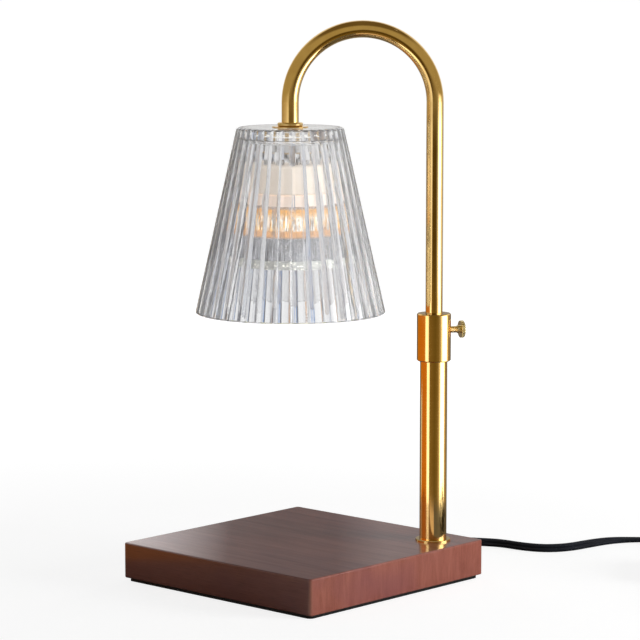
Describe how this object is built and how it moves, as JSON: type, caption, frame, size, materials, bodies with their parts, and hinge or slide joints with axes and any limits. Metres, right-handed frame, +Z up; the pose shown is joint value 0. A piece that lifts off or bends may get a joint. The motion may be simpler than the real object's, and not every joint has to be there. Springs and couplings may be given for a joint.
{
  "type": "candle warmer lamp",
  "caption": "Table lamp that warms a candle from above: square wooden base, brass post with sliding, turning U-shaped arm, and a clear ribbed glass shade over a downward reflector bulb.",
  "frame": {"origin": "middle of the base's underside, on the table", "axes": "+Z up, X and Y along the sides of the square base; the post stands near the +X +Y corner and the arm points along the diagonal towards -X -Y; the cord leaves the +Y side"},
  "size_m": [0.3614, 0.3019, 0.3285],
  "materials": {
    "wood": "dark lacquered wood, glossy",
    "pad_foam": "matt black foam",
    "nylon": "natural nylon",
    "zinc_steel": "zinc plated",
    "cord_rubber": "smooth black flexible PVC",
    "brass": "satin brushed brass, lacquered",
    "shade_glass": "clear pressed glass",
    "silicone": "translucent silicone",
    "nickel": "bright nickel plate",
    "ceramic": "unglazed cream ceramic",
    "wire_sleeve": "woven glass sleeve",
    "bulb_cement": "pinkish white ceramic cement",
    "bulb_reflector": "dichroic reflector, silvered below",
    "bulb_glass": "clear glass, faintly green",
    "black_plastic": "black moulded plastic, fine spark texture",
    "dial_plastic": "dark grey moulded plastic",
    "board": "green circuit board",
    "blade_brass": "bright plug brass"
  },
  "bodies": {
    "base": {"base_block": "wood", "base_pad": "pad_foam", "cord_clamp": "nylon", "clamp_screws": "zinc_steel", "base_lead": "cord_rubber", "foot_washer": "zinc_steel", "foot_nut": "zinc_steel", "post_stud": "zinc_steel", "post_foot_plug": "brass", "post_tube": "brass", "post_foot_ring": "brass", "height_collar": "brass", "cord_gland": "cord_rubber", "cord_lead": "cord_rubber", "dimmer_lower_shell": "black_plastic", "dimmer_upper_shell": "black_plastic", "dimmer_pot": "dial_plastic", "dimmer_board": "board", "dimmer_screws": "zinc_steel", "dimmer_reliefs": "cord_rubber", "cord_coil_lead": "cord_rubber", "cord_coil": "cord_rubber", "cord_plug_lead": "cord_rubber", "plug_body": "cord_rubber", "plug_blades": "blade_brass"},
    "screw_nose": {"thumb_screw_tip": "nylon"},
    "thumb_screw": {"thumb_screw": "brass"},
    "height_slide": {"guide_bush": "nylon"},
    "arm": {"arm_tube": "brass", "arm_clips": "zinc_steel", "shade_stem": "brass", "arm_lead": "cord_rubber", "glass_shade": "shade_glass", "shade_top_disc": "brass", "shade_gasket": "silicone", "shade_clamp_washer": "nickel", "shade_locknut": "nickel", "holder_bracket": "nickel", "holder_screws": "nickel", "lamp_holder": "ceramic", "holder_contacts": "brass", "holder_wires": "wire_sleeve"},
    "bulb": {"bulb_base": "bulb_cement", "bulb_pins": "nickel", "bulb_reflector": "bulb_reflector", "bulb_lens": "bulb_glass", "bulb_capsule": "bulb_glass"},
    "dimmer_dial": {"dimmer_dial": "dial_plastic"}
  },
  "joints": [
    {"name": "height_adjust", "type": "slide", "parent": "base", "child": "height_slide", "axis": [0, 0, 1], "range_m": [-0.055, 0.03]},
    {"name": "arm_swivel", "type": "hinge", "parent": "height_slide", "child": "arm", "pos_m": [0.054, 0.054, 0.15], "axis": [0, 0, 1], "range_deg": [-170, 170]},
    {"name": "bulb_twist", "type": "hinge", "parent": "arm", "child": "bulb", "pos_m": [-0.0054, -0.0054, 0.22], "axis": [0, 0, 1], "range_deg": [0, 28]},
    {"name": "screw_advance", "type": "slide", "parent": "base", "child": "screw_nose", "axis": [0.5299, 0.848, 0], "range_m": [0, 0.0022]},
    {"name": "screw_turn", "type": "hinge", "parent": "screw_nose", "child": "thumb_screw", "pos_m": [0.054, 0.054, 0.148], "axis": [0.5299, 0.848, 0], "range_deg": [0, 1080]},
    {"name": "dial_turn", "type": "hinge", "parent": "base", "child": "dimmer_dial", "pos_m": [0.1675, 0.1635, 0.015], "axis": [0, 0, -1], "range_deg": [0, 270]}
  ],
  "couplings": [
    {"joint": "screw_advance", "follows": "screw_turn", "m_per_rad": 0.00011141}
  ]
}
